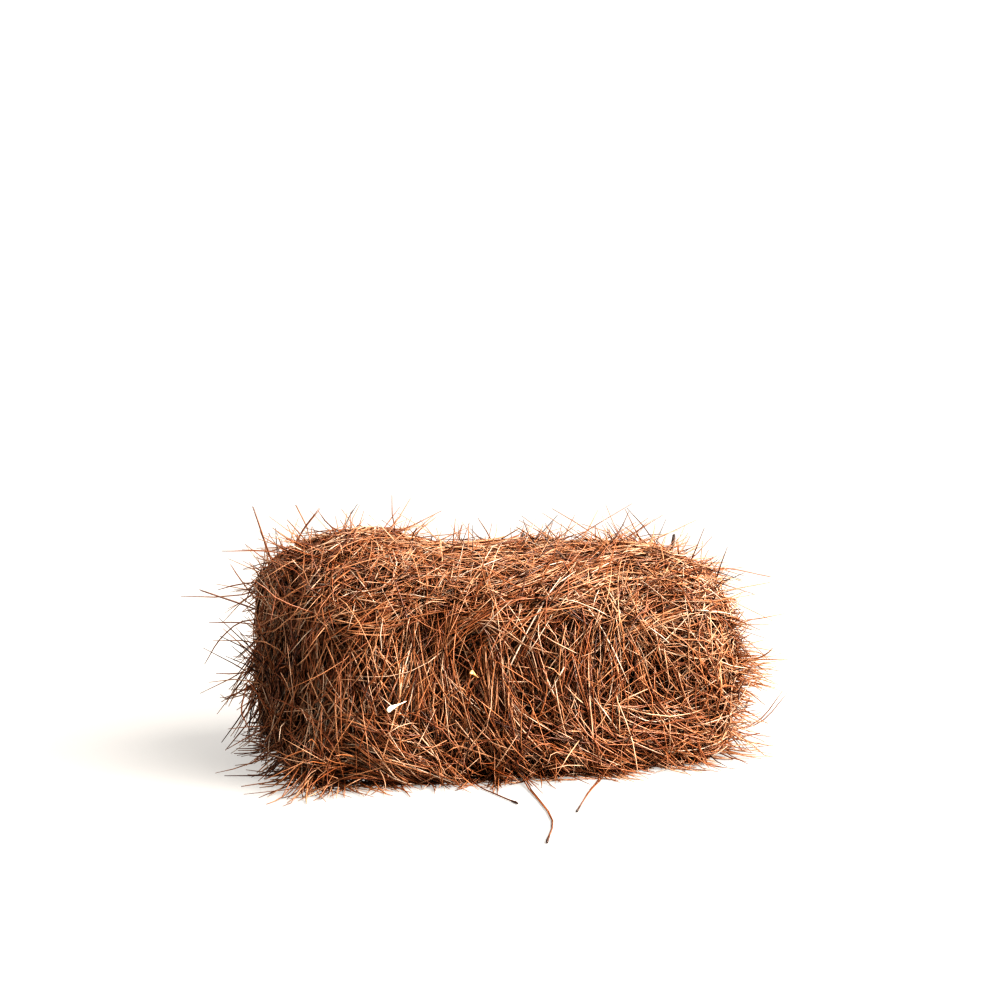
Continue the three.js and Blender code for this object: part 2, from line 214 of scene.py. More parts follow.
# %% Routes
FLOOR_CLEAR = 0.0013  # lowest that a needle's middle may lie
FREE_TIP = 0.007  # furthest that a free tip stands up
PROUD_LIMIT = 0.024  # furthest that a woven needle may stand off the bale
HOLLOWS = [  # dark gaps in the front: along, up, reach
    (-0.252, 0.198, 0.020), (-0.127, 0.190, 0.018), (-0.085, 0.150, 0.022), (-0.068, 0.188, 0.015),
    (-0.052, 0.090, 0.022), (-0.018, 0.108, 0.016), (0.025, 0.170, 0.014), (-0.290, 0.150, 0.026),
    (-0.280, 0.075, 0.020), (0.230, 0.120, 0.014), (-0.130, 0.105, 0.012), (0.052, 0.020, 0.018),
    (-0.235, 0.240, 0.014), (0.085, 0.120, 0.013), (0.160, 0.090, 0.015), (-0.215, 0.010, 0.018),
    (-0.262, 0.215, 0.018), (-0.275, 0.115, 0.022), (-0.240, 0.165, 0.014), (-0.175, 0.185, 0.012),
    (0.050, 0.195, 0.014), (0.110, 0.165, 0.012), (0.195, 0.110, 0.014), (0.010, 0.075, 0.013),
]
LEFT_HOLLOWS = [  # the same on the left end: from front to back, up, reach
    (-0.115, 0.205, 0.032), (-0.070, 0.130, 0.034), (-0.120, 0.110, 0.030), (-0.020, 0.185, 0.034),
    (0.020, 0.100, 0.036), (-0.090, 0.055, 0.026), (0.070, 0.165, 0.034), (-0.055, 0.220, 0.024),
]
SWELLS = [  # where loose straw stands proud: place, reach, rise
    ((0.30, -0.08, 0.13), 0.070, 0.016), ((-0.19, 0.03, 0.28), 0.090, 0.022),
    ((-0.18, -0.16, 0.02), 0.080, 0.018), ((-0.03, -0.16, 0.02), 0.090, 0.032),
    ((0.12, -0.16, 0.02), 0.090, 0.032), ((0.04, 0.00, 0.27), 0.130, 0.010),
    ((0.24, 0.00, 0.27), 0.080, 0.014), ((-0.29, 0.05, 0.15), 0.070, 0.018),
]
FRONT = -0.16
LEFT = -0.28
HOLLOW_DEPTH = 0.030
STRAY_HOLLOWS = 110  # smaller gaps all over the bale
STRAY_REACH = (0.007, 0.018)


def spots_on_block(count, rng, weight):
    """Random points spread over the block by area; weight favours some faces by where they look."""
    block.calc_loop_triangles()
    numbers = np.empty(len(block.loop_triangles) * 3, np.int32)
    block.loop_triangles.foreach_get("vertices", numbers)
    places = np.array(corners)[numbers.reshape(-1, 3)]
    cross = np.cross(places[:, 1] - places[:, 0], places[:, 2] - places[:, 0])
    area = np.linalg.norm(cross, axis=1)
    chance = area * weight(cross / np.maximum(area, 1e-12)[:, None])
    chosen = rng.choice(len(area), count, p=chance / chance.sum())
    a, b = np.sqrt(rng.random(count)), rng.random(count)
    shares = np.stack([1 - a, a * (1 - b), a * b], 1)
    return (places[chosen] * shares[:, :, None]).sum(1)


def face_weight(front, back, top, under, left, right):
    """How thickly each side of the bale is covered."""
    def weight(out):
        share = np.where(out[:, 0] < 0, float(left), float(right))
        share = np.where(out[:, 1] < -0.6, front, share)
        share = np.where(out[:, 1] > 0.6, back, share)
        share = np.where(out[:, 2] > 0.6, top, share)
        return np.where(out[:, 2] < -0.6, under, share)
    return weight


rng = np.random.default_rng(20)
stray_places = spots_on_block(STRAY_HOLLOWS, rng, face_weight(1, 1, 1, 0, 1, 1))
stray_reach = rng.uniform(*STRAY_REACH, STRAY_HOLLOWS)
front_places = [(along, FRONT, up) for along, up, _ in HOLLOWS]
left_places = [(LEFT, along, up) for along, up, _ in LEFT_HOLLOWS]
gap_places = np.concatenate([front_places, left_places, stray_places])
gap_reach = np.concatenate([[reach for _, _, reach in HOLLOWS + LEFT_HOLLOWS], stray_reach])


def relief(points):
    """How far the loose straw dips or stands proud at each point."""
    away = ((points[:, None] - gap_places) ** 2).sum(-1)
    dip = np.minimum(np.exp(-away / gap_reach**2 / 1.5).sum(-1), 1) * HOLLOW_DEPTH
    rise = sum(rise * np.exp(-((points - place) ** 2).sum(-1) / reach**2) for place, reach, rise in SWELLS)
    return rise, dip


def woven(depth, rng, shares, dive, free):
    """Depth at each point of each needle: its ends dive, apart from a share of free tips."""
    ends = rng.uniform(0.2, 1.0, (len(depth), 2)) * dive
    tips = -rng.uniform(0.0, FREE_TIP, ends.shape)
    ends = np.where(rng.random(ends.shape) < free, tips, ends)
    near = np.maximum(0.5 - shares, 0) * 2
    far = np.maximum(shares - 0.5, 0) * 2
    return depth[:, None] - ends[:, :1] * near**2 - ends[:, 1:] * far**2


def lay(middle, heading, length, bend, depths, hold, shares, dips):
    """Routes of needles from a point near the middle: heading, length, sideways bend, depth at each point,
    how firmly each is pressed to the bale, where its points are, and how much of the hollows it follows."""
    count, steps = depths.shape
    anchor = (steps - 1) // 2
    routes = np.empty((count, steps, 3))
    for sense, order in ((1, range(anchor, steps)), (-1, range(anchor, -1, -1))):
        point, way, before = middle.copy(), heading * sense, None
        for step in order:
            if before is not None:
                stride = length * abs(shares[step] - shares[before])
                way = way + np.cross(out, way) * (sense * bend * stride)[:, None]
                way = unit(way - out * ((way * out).sum(-1) * hold)[:, None])
                point = point + way * stride[:, None]
            distance, out = surface(point)
            rise, dip = relief(point)
            target = depths[:, step] + rise - dips * dip
            pull = 1.0 if before is None else hold
            point = point + out * ((target - distance) * pull)[:, None]
            excess = np.maximum(surface(point)[0] - rise - PROUD_LIMIT, 0)
            point = point - out * excess[:, None]
            point[:, 2] = np.maximum(point[:, 2], FLOOR_CLEAR)
            routes[:, step] = point
            before = step
    eased = routes.copy()
    eased[:, 1:-1] = (routes[:, :-2] + 2 * routes[:, 1:-1] + routes[:, 2:]) / 4
    eased[..., 2] = np.maximum(eased[..., 2], FLOOR_CLEAR)
    return eased


print("hollows:", len(gap_places))

# %% [markdown]
# ## From routes to a mesh
# Pine needles grow two or three to a sheath, so their section is a wedge rather than a circle. Three sides
# are therefore right, and cheap.
# The arrays of corners go into the mesh in one go; adding faces one by one would take minutes.
# The texture map holds no picture: across it runs a needle's own tint, up it runs the way from sheath to tip.

# %% Needle mesh
SIDES = 3
TINT_WIDTH = 0.004  # room that one needle takes across the map
BOX_SPARE = 0.012
box_low, box_high = np.array(cad_box[0]) - BOX_SPARE, np.array(cad_box[1]) + BOX_SPARE


def needle_arrays(routes, radii, ways, tint, rng):
    """Corners, faces and map places of closed three-sided needles along the routes. A needle that would leave
    the bale's own box is left out."""
    inside = ((routes > box_low) & (routes < box_high)).all((1, 2))
    routes, radii, ways, tint = routes[inside], radii[inside], ways[inside], tint[inside]
    count, steps, _ = routes.shape
    tangent = unit(np.gradient(routes, axis=1))
    chord = unit(routes[:, -1] - routes[:, 0])
    beside = unit(np.cross(chord, rng.normal(size=(count, 3))))[:, None]
    across = unit(np.cross(tangent, beside))
    over = np.cross(tangent, across)
    turn = np.arange(SIDES) * 2 * math.pi / SIDES
    ring = np.cos(turn)[:, None] * across[:, :, None] + np.sin(turn)[:, None] * over[:, :, None]
    corners = (routes[:, :, None] + ring * radii[:, :, None, None]).reshape(-1, 3)
    first = (np.arange(count) * steps * SIDES)[:, None, None]
    row = (np.arange(steps - 1) * SIDES)[None, :, None]
    side = np.arange(SIDES)[None, None, :]
    after = (side + 1) % SIDES
    quads = np.stack([first + row + side, first + row + after,
                      first + row + SIDES + after, first + row + SIDES + side], -1).reshape(-1, 4)
    last = first[:, 0] + (steps - 1) * SIDES
    caps = np.concatenate([first[:, 0] + np.array([2, 1, 0]), last + np.array([0, 1, 2])], 1).reshape(-1, 3)
    left = tint[:, None, None] + TINT_WIDTH * np.arange(SIDES)[None, None, :] / SIDES
    left = np.broadcast_to(left, (count, steps - 1, SIDES))
    right = left + TINT_WIDTH / SIDES
    low = np.broadcast_to(ways[:, :-1, None], left.shape)
    high = np.broadcast_to(ways[:, 1:, None], left.shape)
    quad_map = np.stack([np.stack([left, right, right, left], -1), np.stack([low, low, high, high], -1)], -1)
    cap_u = tint[:, None, None] + TINT_WIDTH * np.array([0, 1, 0.5])
    cap_u = np.broadcast_to(cap_u, (count, 2, 3))
    cap_v = ways[:, [0, -1]][:, :, None] + np.array([0, 0, 0.006])
    cap_map = np.stack([cap_u, np.minimum(cap_v, 1)], -1)
    return corners, quads, caps, quad_map.reshape(-1, 2), cap_map.reshape(-1, 2)


def join_needles(name, bundles, material):
    """One mesh object from several groups of needle arrays."""
    begins = np.cumsum([0] + [len(bundle[0]) for bundle in bundles])
    corners = np.concatenate([bundle[0] for bundle in bundles])
    quads, caps = (np.concatenate([bundle[part] + begin for bundle, begin in zip(bundles, begins)])
                   for part in (1, 2))
    places = np.concatenate([bundle[part] for part in (3, 4) for bundle in bundles])
    mesh = bpy.data.meshes.new(name)
    mesh.vertices.add(len(corners))
    mesh.vertices.foreach_set("co", corners.astype(np.float32).ravel())
    mesh.loops.add(quads.size + caps.size)
    mesh.loops.foreach_set("vertex_index", np.concatenate([quads.ravel(), caps.ravel()]).astype(np.int32))
    starts = np.concatenate([np.arange(len(quads)) * 4, quads.size + np.arange(len(caps)) * 3])
    mesh.polygons.add(len(starts))
    mesh.polygons.foreach_set("loop_start", starts.astype(np.int32))
    mesh.polygons.foreach_set("use_smooth", np.ones(len(starts), bool))
    layer = mesh.uv_layers.new(name="OFBake")
    layer.data.foreach_set("uv", places.astype(np.float32).ravel())
    mesh.materials.append(material)
    mesh.update(calc_edges=True)
    mesh.validate()
    piece = bpy.data.objects.new(name, mesh)
    bpy.context.scene.collection.objects.link(piece)
    triangles = 2 * len(quads) + len(caps)
    print(f"{name}: {len(caps) // 2} needles, {triangles} triangles")
    return piece


# %% [markdown]
# ## The finish of dry needles
# Dry pine needles run from dark red-brown over orange-brown to pale tan, each needle nearly one colour, with
# a dark grey-brown sheath at the root and a waxy sheen.
# A random value for each island of the mesh would tint them too, but it doesn't travel with an export. The
# needle's place on the map does: across it picks the tint, up it darkens the sheath.

# %% Needle finish
NEEDLE_TINTS = [  # place across the map, linear colour
    (0.00, (0.022, 0.007, 0.0030)), (0.16, (0.072, 0.022, 0.0076)), (0.36, (0.162, 0.056, 0.0190)),
    (0.56, (0.234, 0.102, 0.0430)), (0.74, (0.266, 0.146, 0.0800)), (0.87, (0.308, 0.206, 0.1420)),
    (0.95, (0.390, 0.308, 0.2450)), (1.00, (0.230, 0.178, 0.1350)),
]
NEEDLE_LENGTHWISE = [  # place up the map, share of the tint that shows
    (0.00, (0.240, 0.260, 0.300)), (0.09, (0.420, 0.400, 0.400)), (0.12, (0.780, 0.740, 0.700)),
    (0.35, (1.000, 1.000, 1.000)), (0.90, (1.000, 1.000, 1.000)), (1.00, (0.760, 0.700, 0.640)),
]


def fill_ramp(node, stops):
    """Sets the stops of a colour ramp."""
    ramp = node.color_ramp
    while len(ramp.elements) < len(stops):
        ramp.elements.new(1.0)
    for element, (place, colour) in zip(ramp.elements, stops):
        element.position = place
        element.color = (*colour, 1)


def link(tree, source, target):
    tree.links.new(source, target)


def add(tree, kind):
    """A new shader node."""
    return tree.nodes.new("ShaderNode" + kind)


def new_material(name):
    """A material with its node tree and its surface shader."""
    material = bpy.data.materials.new(name)
    material.use_nodes = True
    return material, material.node_tree, material.node_tree.nodes["Principled BSDF"]


def mix_colours(tree, kind, first, second, share):
    """A colour mix of two sockets; share is how much of the second one counts."""
    node = add(tree, "Mix")
    node.data_type = "RGBA"
    node.blend_type = kind
    node.inputs["Factor"].default_value = share
    link(tree, first, node.inputs["A"])
    link(tree, second, node.inputs["B"])
    return node.outputs["Result"]


def dry_needles(name):
    material, tree, shader = new_material(name)
    place = add(tree, "UVMap")
    place.uv_map = "OFBake"
    parts = add(tree, "SeparateXYZ")
    link(tree, place.outputs["UV"], parts.inputs["Vector"])
    tint = add(tree, "ValToRGB")
    fill_ramp(tint, NEEDLE_TINTS)
    link(tree, parts.outputs["X"], tint.inputs["Fac"])
    lengthwise = add(tree, "ValToRGB")
    fill_ramp(lengthwise, NEEDLE_LENGTHWISE)
    link(tree, parts.outputs["Y"], lengthwise.inputs["Fac"])
    stretch = add(tree, "Mapping")
    stretch.inputs["Scale"].default_value = (220, 9, 1)
    link(tree, place.outputs["UV"], stretch.inputs["Vector"])
    mottle = add(tree, "TexNoise")
    mottle.inputs["Scale"].default_value = 1
    mottle.inputs["Detail"].default_value = 3
    link(tree, stretch.outputs["Vector"], mottle.inputs["Vector"])
    patches = add(tree, "ValToRGB")
    fill_ramp(patches, [(0.30, (0.62, 0.56, 0.52)), (0.62, (1.0, 1.0, 1.0))])
    link(tree, mottle.outputs["Fac"], patches.inputs["Fac"])
    shaded = mix_colours(tree, "MULTIPLY", tint.outputs["Color"], lengthwise.outputs["Color"], 1.0)
    shaded = mix_colours(tree, "MULTIPLY", shaded, patches.outputs["Color"], 0.8)
    link(tree, shaded, shader.inputs["Base Color"])
    shader.inputs["Specular IOR Level"].default_value = 0.38
    gloss = add(tree, "MapRange")
    gloss.inputs["To Min"].default_value = 0.34
    gloss.inputs["To Max"].default_value = 0.58
    link(tree, mottle.outputs["Fac"], gloss.inputs["Value"])
    link(tree, gloss.outputs["Result"], shader.inputs["Roughness"])
    return material


straw_finish = dry_needles("dry_needles")
print("tints:", len(NEEDLE_TINTS))

# %% [markdown]
# ## Locks and crossing needles
# In the bale most needles lie in locks: bundles of near-parallel needles that cross and overlap, with dark
# gaps between them. Scattering single needles evenly would give a doormat instead.
# So each lock gets a place, a heading and a depth, and its needles share them with a little spread.
# Single needles then cross the locks at other angles, as they do where the bale was handled.

# %% Where locks lie
NEEDLE_RADIUS = 0.00105
LOCK_TURN = math.radians(20)  # how far a lock strays from its sweep
LOCK_BEND = 2.2  # sideways, in radians a metre
LOCK_WIDE = (0.005, 0.012)
LOCK_LENGTH = (0.06, 0.17)
LOCK_SHIFT = 0.032  # along the lock
LOCK_FAN = 0.18
LOCK_DIVE = 0.012
CROSS_LENGTH = (0.05, 0.18)
CROSS_DIVE = 0.014
CROSS_BEND = 4.5
CROSS_HOLD = (0.08, 0.6)
LEFT_HOLD = 0.5  # needles hang close on the left end
DEEP_SHARES = np.linspace(0, 1, 4)
SHOWN_SHARES = np.linspace(0, 1, 6)


def tapering(count, shares, rng):
    """Needle radii from root to tip, with each needle a little thicker or thinner."""
    profile = np.interp(shares, [0, 0.1, 0.75, 1], [0.85, 1, 0.9, 0.4])
    return NEEDLE_RADIUS * rng.uniform(0.8, 1.2, (count, 1)) * profile


def along_map(count, shares):
    """Places up the map of needles that show no sheath."""
    return np.broadcast_to(0.13 + 0.86 * shares, (count, len(shares)))


def plain_needles(routes, shares, tint, rng, slim=1.0):
    """Needle arrays along the routes, tapering and without a sheath."""
    radii = tapering(len(routes), shares, rng) * slim
    return needle_arrays(routes, radii, along_map(len(routes), shares), tint, rng)


def onto_surface(points):
    """Points moved onto the block's surface, with the outward direction there."""
    for _ in range(2):
        distance, out = surface(points)
        points = points - out * distance[:, None]
    return points, out


def locks(count, per_lock, rng, weight, depth_range, shares, tone):
    """Bundles of near-parallel needles lying along the sweeps; tone shifts their tint, and a low tone on deep
    layers is painted shade.
    """
    middle = spots_on_block(count, rng, weight)
    _, out = surface(middle)
    heading = sweep_heading(middle, out, rng, LOCK_TURN)
    lock_depth = rng.uniform(*depth_range, count)
    lock_bend = rng.normal(0, LOCK_BEND, count)
    lock_tint_and_layer_shade = rng.normal(tone, 0.09, count)
    lock_wide = rng.uniform(*LOCK_WIDE, count)
    owner = np.repeat(np.arange(count), per_lock)
    many = len(owner)
    length = rng.uniform(*LOCK_LENGTH, many)
    side = np.cross(out, heading)[owner]
    aside = np.clip(rng.normal(0, 1, many), -2, 2)
    start = middle[owner] + side * (aside * lock_wide[owner])[:, None]
    start = start + heading[owner] * rng.normal(0, LOCK_SHIFT, many)[:, None]
    start, normal = onto_surface(start)
    way = heading[owner] + side * rng.normal(0, LOCK_FAN, many)[:, None]
    way = unit(way - normal * (way * normal).sum(-1, keepdims=True))
    depth = lock_depth[owner] - 0.003 * aside**2 + rng.normal(0, 0.0025, many)
    depths = woven(depth, rng, shares, LOCK_DIVE, 0.16)
    bend = lock_bend[owner] + rng.normal(0, 2.0, many)
    hold = rng.uniform(0.35, 0.9, many)
    routes = lay(start, way, length, bend, depths, hold, shares, 1.0)
    tint = np.clip(rng.beta(2.2, 2.0, many) + lock_tint_and_layer_shade[owner], 0.01, 0.98)
    return plain_needles(routes, shares, tint, rng)


def crossing(count, rng, weight, depth_range, shares, spread):
    """Single needles lying across the locks."""
    middle = spots_on_block(count, rng, weight)
    covered = (relief(middle)[1] < 0.4 * HOLLOW_DEPTH) | (rng.random(count) < 0.25)
    middle, out = onto_surface(middle[covered])
    count = len(middle)
    heading = sweep_heading(middle, out, rng, spread)
    length = rng.uniform(*CROSS_LENGTH, count)
    depths = woven(rng.uniform(*depth_range, count), rng, shares, CROSS_DIVE, 0.22)
    bend = rng.normal(0, CROSS_BEND, count)
    hold = rng.uniform(*CROSS_HOLD, count)
    hold = np.where(out[:, 0] < -0.5, np.maximum(hold, LEFT_HOLD), hold)
    routes = lay(middle, heading, length, bend, depths, hold, shares, 0.5)
    tint = np.clip(rng.beta(2.4, 1.8, count), 0.01, 0.98)
    return plain_needles(routes, shares, tint, rng)


def smooth_route(places, shares):
    """Points on a smooth curve through the places."""
    places = np.array(places, float)
    ends = 2 * places[[0, -1]] - places[[1, -2]]
    held = np.concatenate([ends[:1], places, ends[1:]])
    at = shares * (len(places) - 1)
    span = np.minimum(at.astype(int), len(places) - 2)
    t = (at - span)[:, None]
    a, b, c, d = (held[span + k] for k in range(4))
    return 0.5 * (2 * b + (c - a) * t + (2 * a - 5 * b + 4 * c - d) * t**2 + (3 * b - a - 3 * c + d) * t**3)


def belongs(piece):
    """Lets a piece move with the bale."""
    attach(piece, "root")
    return piece


# %% Locks and crossing needles over the bale
even_cover = face_weight(1.1, 1.0, 1.0, 0.4, 1.0, 1.0)
shown_cover = face_weight(1.4, 0.9, 1.2, 0.1, 1.0, 1.0)
# The last number shifts each layer's tint: darker for the deep and middle locks as painted shade, a little
# paler for the upper ones as painted light.
deep_locks = locks(150, 38, rng, even_cover, (-0.026, -0.012), DEEP_SHARES, -0.32)
middle_locks = locks(165, 30, rng, shown_cover, (-0.018, -0.004), SHOWN_SHARES, -0.14)
upper_locks = locks(190, 31, rng, shown_cover, (-0.008, 0.008), SHOWN_SHARES, 0.06)
cross_needles = crossing(7000, rng, shown_cover, (-0.010, 0.008), SHOWN_SHARES, 0.75)
straw_pieces = [
    join_needles("deep_locks", [deep_locks], straw_finish),
    join_needles("middle_locks", [middle_locks], straw_finish),
    join_needles("upper_locks", [upper_locks], straw_finish),
    join_needles("cross_needles", [cross_needles], straw_finish),
]

# %% [markdown]
# ## Locks drawn one by one
# Some locks of the front catch the eye: the one that is pulled in to a narrow waist, the strands that hang
# below it, the fan along the foot and a pale pair of needles that cross on the right.
# Chance doesn't make these, so their lines are drawn as a few points on the front and laid on its surface.

# %% Drawn locks
DRAWN_PROUD = 0.006
DRAWN_LOCKS = [  # needles, half width, tint, line on the front
    (30, 0.0075, 0.55, [(0.085, 0.262), (0.000, 0.248), (-0.069, 0.208), (-0.105, 0.187), (-0.140, 0.166)]),
    (22, 0.0080, 0.52, [(-0.085, 0.258), (-0.097, 0.225), (-0.105, 0.187), (-0.108, 0.150)]),
    (34, 0.0080, 0.30, [(-0.106, 0.180), (-0.098, 0.130), (-0.094, 0.085), (-0.102, 0.045)]),
    (36, 0.0050, 0.68, [(-0.054, 0.200), (-0.053, 0.168), (-0.047, 0.122), (-0.034, 0.076), (-0.008, 0.034),
                        (0.024, 0.008)]),
    (26, 0.0045, 0.58, [(-0.122, 0.170), (-0.138, 0.124), (-0.145, 0.090), (-0.142, 0.050)]),
    (40, 0.0090, 0.55, [(-0.255, 0.082), (-0.192, 0.055), (-0.155, 0.030), (-0.120, 0.010)]),
    (24, 0.0120, 0.50, [(-0.265, 0.190), (-0.210, 0.224), (-0.168, 0.250), (-0.135, 0.265)]),
    (16, 0.0100, 0.62, [(-0.268, 0.225), (-0.225, 0.212), (-0.180, 0.210), (-0.150, 0.222)]),
    (30, 0.0080, 0.60, [(0.055, 0.172), (0.140, 0.188), (0.225, 0.208), (0.285, 0.205)]),
    (34, 0.0090, 0.58, [(0.160, 0.052), (0.215, 0.038), (0.270, 0.030), (0.305, 0.030)]),
    (30, 0.0080, 0.55, [(0.010, 0.105), (0.055, 0.062), (0.105, 0.030), (0.150, 0.010)]),
    (28, 0.0060, 0.50, [(0.070, 0.215), (0.085, 0.165), (0.080, 0.115), (0.095, 0.075)]),
    (4, 0.0020, 0.90, [(0.190, 0.078), (0.236, 0.140), (0.275, 0.182)]),
    (5, 0.0030, 0.62, [(0.150, 0.205), (0.215, 0.135), (0.265, 0.060)]),
    (4, 0.0020, 0.74, [(-0.205, 0.092), (-0.165, 0.126), (-0.120, 0.135)]),
    (3, 0.0015, 0.88, [(-0.250, 0.020), (-0.205, 0.052), (-0.160, 0.078)]),
]


def drawn_lock(count, wide, tone, line, rng):
    """Needles side by side along a line that is drawn on the front."""
    fine = np.linspace(0, 1, 60)
    drawn = smooth_route([(along, FRONT, up) for along, up in line], fine)
    first, last = rng.uniform(0, 0.45, (count, 1)), rng.uniform(0.55, 1, (count, 1))
    reach = np.linalg.norm(np.diff(drawn, axis=0), axis=1).sum()
    shares = first + (last - first) * SHOWN_SHARES
    points = np.stack([np.interp(shares, fine, drawn[:, axis]) for axis in range(3)], -1)
    heading = unit(np.gradient(points, axis=1))
    aside = np.cross(heading, [0, 1.0, 0])
    fan = rng.normal(0, wide, (count, 1)) * (0.7 + 0.6 * rng.random((count, 1)) * SHOWN_SHARES)
    skew = rng.normal(0, 0.16, (count, 1)) * (SHOWN_SHARES - 0.5) * (last - first) * reach
    points = points + aside * (fan + skew)[..., None]
    depth = DRAWN_PROUD - 0.004 * (fan / wide) ** 2 + rng.normal(0, 0.002, (count, 1))
    sink = 0.008 * (2 * SHOWN_SHARES - 1) ** 4
    for _ in range(3):
        distance, out = surface(points)
        points = points + out * (depth - sink - distance)[..., None]
    points[..., 2] = np.maximum(points[..., 2], FLOOR_CLEAR)
    tint = np.clip(rng.normal(tone, 0.13, count), 0.02, 0.97)
    return plain_needles(points, SHOWN_SHARES, tint, rng)


drawn_locks = [drawn_lock(*row, rng) for row in DRAWN_LOCKS]
# These locks stand proud on the left end and get a paler tone: painted light, as for the upper layer.
drawn_locks.append(locks(18, 8, rng, face_weight(0, 0, 0, 0, 1, 0), (0.008, 0.014), SHOWN_SHARES, 0.24))
straw_pieces.append(join_needles("drawn_locks", drawn_locks, straw_finish))

# %% [markdown]
# ## Ragged tufts and the fringe at the foot
# A bale's outline is never clean. Tufts of needles flare out of its ends and edges, and along its foot
# needles have slid out and lie on the floor.
# Each tuft is a small fan: needles from one root, leaning out of the surface, a little apart at their tips.

# %% Tufts and fringe
TUFT_SHARES = np.linspace(0, 1, 4)
TUFT_ROOT = 0.012  # how deep a tuft is rooted
TUFT_SLIM = 0.85
TUFT_CURL, TUFT_SAG = 0.22, 0.12
FLARE_CURL, FLARE_FAN = 0.16, 0.24
FRINGE_LENGTH = (0.06, 0.17)


def sprung(start, heading, length, curl, shares):
    """Routes that leave their start along a heading and curl away from it."""
    share = shares[None, :, None]
    routes = start[:, None] + length * (heading[:, None] * share + curl[:, None] * share**2)
    routes[..., 2] = np.maximum(routes[..., 2], FLOOR_CLEAR)
    return routes


def tufts(count, per_tuft, rng, cover, lean, lengths, spread):
    """Fans of needles that lean out of the bale."""
    root, out = onto_surface(spots_on_block(count, rng, cover))
    way = unit(sweep_heading(root, out, rng, 0.35) + out * rng.uniform(*lean, count)[:, None])
    owner = np.repeat(np.arange(count), per_tuft)
    many = len(owner)
    length = rng.uniform(*lengths, many)[:, None, None]
    rise = relief(root)[0]
    start = root[owner] + rng.normal(0, 0.006, (many, 3)) + out[owner] * (rise[owner] - TUFT_ROOT)[:, None]
    heading = unit(way[owner] + rng.normal(0, spread, (many, 3)))
    curl = rng.normal(0, TUFT_CURL, (many, 3)) - np.array([0, 0, TUFT_SAG])
    routes = sprung(start, heading, length, curl, TUFT_SHARES)
    tint = np.clip(rng.beta(2.0, 2.2, many) + rng.normal(0, 0.12, count)[owner], 0.01, 0.98)
    return plain_needles(routes, TUFT_SHARES, tint, rng, TUFT_SLIM)


def fringe(count, rng, reach):
    """Needles that have slid out of the foot and lie on the floor."""
    root = spots_on_block(count * 12, rng, face_weight(1.6, 1, 0, 0, 0.5, 1))
    root, out = onto_surface(root[root[:, 2] < 0.05][:count])
    many = len(root)
    flat = unit(out * np.array([1, 1, 0]))
    sideways = np.cross(flat, np.array([0, 0, 1.0]))
    way = unit(flat * rng.uniform(*reach, many)[:, None] + sideways * rng.normal(0, 0.8, many)[:, None])
    length = rng.uniform(*FRINGE_LENGTH, many)[:, None, None]
    start = root - way * length[:, 0] * 0.6 - out * 0.006
    curl = sideways * rng.normal(0, 0.2, many)[:, None]
    routes = sprung(start, way, length, curl, SHOWN_SHARES)
    settle = np.clip(1.6 * SHOWN_SHARES - 0.3, 0, 1) ** 0.7
    rest = np.minimum(root[:, 2:], 0.025) * (1 - settle) + rng.uniform(0, 0.004, (many, 1))
    routes[..., 2] = FLOOR_CLEAR + rest
    tint = np.clip(rng.beta(2.0, 2.0, many), 0.01, 0.98)
    return plain_needles(routes, SHOWN_SHARES, tint, rng)


right_tufts = tufts(60, 16, rng, face_weight(0, 0, 0.05, 0, 0, 1), (0.30, 0.9), (0.030, 0.058), 0.26)
left_tufts = tufts(45, 10, rng, face_weight(0, 0, 0, 0, 1, 0), (0.08, 0.40), (0.050, 0.100), 0.20)
edge_tufts = tufts(170, 8, rng, face_weight(0.5, 0.7, 1.6, 0, 0.15, 1.0), (0.15, 0.6), (0.035, 0.080), 0.22)
stubble = tufts(900, 2, rng, face_weight(0.4, 0.8, 1.6, 0, 0.15, 1.2), (0.12, 0.50), (0.045, 0.100), 0.22)
foot_fringe = fringe(650, rng, (0.1, 0.8))


def flare(count, root, way, length, tone, rng):
    """A listed tuft: needles from one root, fanning along one direction."""
    start = np.array(root) + rng.normal(0, 0.010, (count, 3))
    heading = unit(unit(np.array(way)) + rng.normal(0, FLARE_FAN, (count, 3)))
    curl = rng.normal(0, FLARE_CURL, (count, 3)) - np.array([0, 0, TUFT_SAG])
    reach = length * rng.uniform(0.6, 1, (count, 1, 1))
    routes = sprung(start, heading, reach, curl, SHOWN_SHARES)
    tint = np.clip(rng.normal(tone, 0.16, count), 0.02, 0.97)
    return plain_needles(routes, SHOWN_SHARES, tint, rng)


